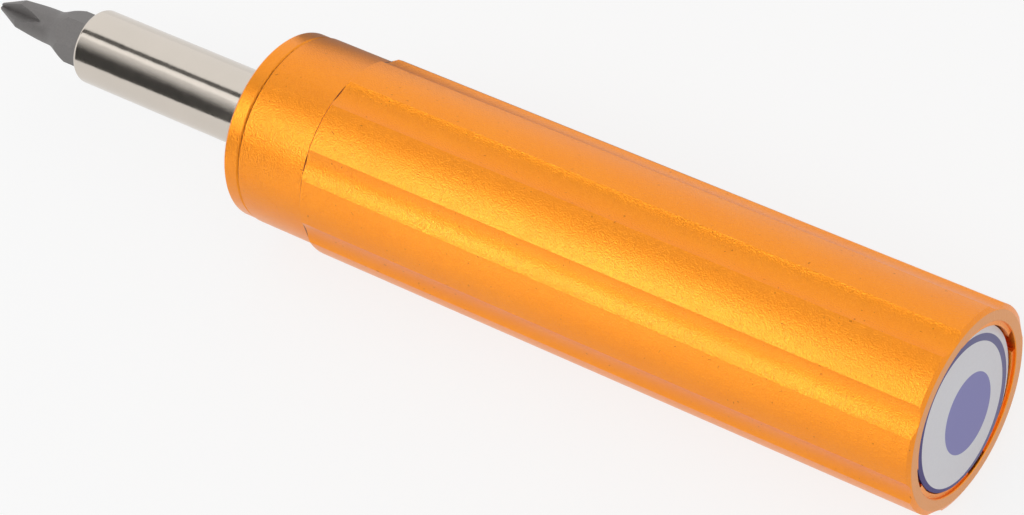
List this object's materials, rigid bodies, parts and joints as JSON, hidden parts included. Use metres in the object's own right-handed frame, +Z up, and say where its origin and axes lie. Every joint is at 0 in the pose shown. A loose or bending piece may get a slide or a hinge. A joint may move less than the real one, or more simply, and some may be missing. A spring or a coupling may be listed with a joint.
{
  "type": "torque screwdriver",
  "caption": "Hand torque screwdriver: fluted anodised handle, preset slipping ball clutch inside, round bit holder and a cross-tip hexagon bit.",
  "frame": {"origin": "on the table, under the middle of the tool's length, with the tool lying on the edges of one flute", "axes": "+X along the tool from the driving tip towards the rear face, +Z up from the table, +Y across the tool"},
  "size_m": [0.1482, 0.0258, 0.0259],
  "materials": {
    "anodised": "satin anodised, orange gold",
    "nickel_steel": "nickel plated, smooth",
    "tool_steel": "ground tool steel",
    "hardened_steel": "hardened and ground",
    "bright_steel": "polished",
    "spring_steel": "oiled spring wire",
    "magnet_nickel": "nickel plated",
    "bronze": "sintered bronze",
    "seal_rubber": "black rubber",
    "label_print": "printed disc, plain rings"
  },
  "bodies": {
    "handle": {"handle_body": "anodised", "front_cap": "anodised", "front_bush": "bronze", "shaft_seal": "seal_rubber", "main_spring": "spring_steel", "spring_seat": "hardened_steel", "centre_ball": "bright_steel", "adjusting_screw": "hardened_steel", "lock_ring": "hardened_steel", "end_plug": "anodised", "plug_seal": "seal_rubber", "ring_nut": "anodised", "end_label": "label_print"},
    "spindle": {"bit_holder": "nickel_steel", "holder_magnet": "magnet_nickel", "thrust_washer": "hardened_steel", "cam_plate": "hardened_steel", "cam_clip": "spring_steel"},
    "clutch": {"pressure_plate": "hardened_steel", "clutch_ball_1": "bright_steel", "clutch_ball_2": "bright_steel", "clutch_ball_3": "bright_steel", "clutch_ball_4": "bright_steel", "clutch_ball_5": "bright_steel", "clutch_ball_6": "bright_steel"},
    "bit": {"phillips_bit": "tool_steel"}
  },
  "joints": [
    {"name": "spindle_turn", "type": "hinge", "parent": "handle", "child": "spindle", "pos_m": [0, 0, 0.01295], "axis": [1, 0, 0], "continuous": true},
    {"name": "clutch_lift", "type": "slide", "parent": "handle", "child": "clutch", "axis": [1, 0, 0], "range_m": [0, 0.0009], "stiffness_N_per_m": 7000, "springref_m": -0.014, "deforming": ["main_spring"]},
    {"name": "bit_pull", "type": "slide", "parent": "spindle", "child": "bit", "axis": [-1, 0, 0], "range_m": [0, 0.012]}
  ]
}
